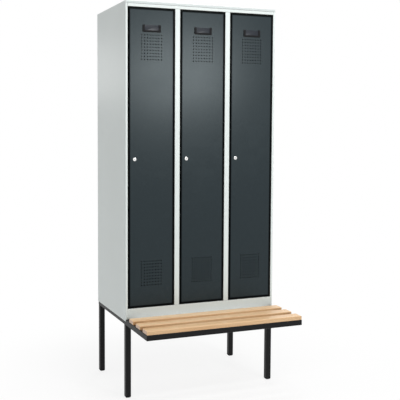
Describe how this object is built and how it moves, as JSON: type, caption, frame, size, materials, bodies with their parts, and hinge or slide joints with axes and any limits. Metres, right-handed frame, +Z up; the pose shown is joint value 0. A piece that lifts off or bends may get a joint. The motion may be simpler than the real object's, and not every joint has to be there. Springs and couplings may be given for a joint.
{
  "type": "clothes locker with bench",
  "caption": "Steel clothes locker with side-by-side hinged doors on a square-tube frame that carries a slatted wooden bench in front.",
  "frame": {"origin": "on the floor, in the middle of the footprint of body and bench together", "axes": "+Z up, the doors and the bench face -Y, +X to the right when facing the doors"},
  "size_m": [0.885, 0.81, 2.1],
  "materials": {
    "grey_steel": "light grey powder coat",
    "anthracite_steel": "anthracite powder coat, semi-gloss",
    "black_steel": "black powder coat",
    "beech": "clear lacquered beech",
    "nickel": "nickel plated",
    "zinc_steel": "zinc plated",
    "black_plastic": "moulded, matt"
  },
  "bodies": {
    "cabinet": {"side_panel_left": "grey_steel", "side_panel_right": "grey_steel", "centre_post_left": "grey_steel", "centre_post_right": "grey_steel", "partition_left": "grey_steel", "partition_right": "grey_steel", "back_panel": "grey_steel", "top_panel": "grey_steel", "front_top_rail": "grey_steel", "base_panel": "grey_steel", "hat_shelf_left": "grey_steel", "hat_shelf_middle": "grey_steel", "hat_shelf_right": "grey_steel", "coat_rail_left": "zinc_steel", "coat_rail_middle": "zinc_steel", "coat_rail_right": "zinc_steel", "rail_sockets": "black_plastic", "hinge_pins": "black_steel", "side_rail_left": "black_steel", "side_rail_right": "black_steel", "front_rail": "black_steel", "rear_rail": "black_steel", "cross_rail": "black_steel", "leg_front_left": "black_steel", "leg_front_right": "black_steel", "leg_rear_left": "black_steel", "leg_rear_right": "black_steel", "foot_caps": "black_plastic", "bench_slat_front": "beech", "bench_slat_middle": "beech", "bench_slat_rear": "beech", "slat_bolts": "zinc_steel", "body_bolts": "zinc_steel"},
    "door_left": {"door_leaf_left": "anthracite_steel", "door_stiffener_left": "anthracite_steel", "label_holder_left": "black_plastic", "lock_housing_left": "nickel", "lock_nut_left": "zinc_steel"},
    "lock_left": {"lock_plug_left": "nickel", "lock_cam_left": "zinc_steel"},
    "hook_left_a": {"coat_hook_left_a": "black_plastic"},
    "hook_left_b": {"coat_hook_left_b": "black_plastic"},
    "door_middle": {"door_leaf_middle": "anthracite_steel", "door_stiffener_middle": "anthracite_steel", "label_holder_middle": "black_plastic", "lock_housing_middle": "nickel", "lock_nut_middle": "zinc_steel"},
    "lock_middle": {"lock_plug_middle": "nickel", "lock_cam_middle": "zinc_steel"},
    "hook_middle_a": {"coat_hook_middle_a": "black_plastic"},
    "hook_middle_b": {"coat_hook_middle_b": "black_plastic"},
    "door_right": {"door_leaf_right": "anthracite_steel", "door_stiffener_right": "anthracite_steel", "label_holder_right": "black_plastic", "lock_housing_right": "nickel", "lock_nut_right": "zinc_steel"},
    "lock_right": {"lock_plug_right": "nickel", "lock_cam_right": "zinc_steel"},
    "hook_right_a": {"coat_hook_right_a": "black_plastic"},
    "hook_right_b": {"coat_hook_right_b": "black_plastic"}
  },
  "joints": [
    {"name": "door_left_hinge", "type": "hinge", "parent": "cabinet", "child": "door_left", "pos_m": [-0.17517, -0.0877, 1.2765], "axis": [0, 0, 1], "range_deg": [0, 110]},
    {"name": "lock_left_turn", "type": "hinge", "parent": "door_left", "child": "lock_left", "pos_m": [-0.3917, -0.0942, 1.2765], "axis": [0, 1, 0], "range_deg": [0, 90]},
    {"name": "hook_left_a_slide", "type": "slide", "parent": "cabinet", "child": "hook_left_a", "axis": [1, 0, 0], "range_m": [-0.07, 0.034]},
    {"name": "hook_left_b_slide", "type": "slide", "parent": "cabinet", "child": "hook_left_b", "axis": [1, 0, 0], "range_m": [-0.034, 0.07]},
    {"name": "door_middle_hinge", "type": "hinge", "parent": "cabinet", "child": "door_middle", "pos_m": [0.12117, -0.0877, 1.2765], "axis": [0, 0, 1], "range_deg": [0, 110]},
    {"name": "lock_middle_turn", "type": "hinge", "parent": "door_middle", "child": "lock_middle", "pos_m": [-0.09537, -0.0942, 1.2765], "axis": [0, 1, 0], "range_deg": [0, 90]},
    {"name": "hook_middle_a_slide", "type": "slide", "parent": "cabinet", "child": "hook_middle_a", "axis": [1, 0, 0], "range_m": [-0.07, 0.034]},
    {"name": "hook_middle_b_slide", "type": "slide", "parent": "cabinet", "child": "hook_middle_b", "axis": [1, 0, 0], "range_m": [-0.034, 0.07]},
    {"name": "door_right_hinge", "type": "hinge", "parent": "cabinet", "child": "door_right", "pos_m": [0.4175, -0.0877, 1.2765], "axis": [0, 0, 1], "range_deg": [0, 110]},
    {"name": "lock_right_turn", "type": "hinge", "parent": "door_right", "child": "lock_right", "pos_m": [0.20097, -0.0942, 1.2765], "axis": [0, 1, 0], "range_deg": [0, 90]},
    {"name": "hook_right_a_slide", "type": "slide", "parent": "cabinet", "child": "hook_right_a", "axis": [1, 0, 0], "range_m": [-0.07, 0.034]},
    {"name": "hook_right_b_slide", "type": "slide", "parent": "cabinet", "child": "hook_right_b", "axis": [1, 0, 0], "range_m": [-0.034, 0.07]}
  ]
}
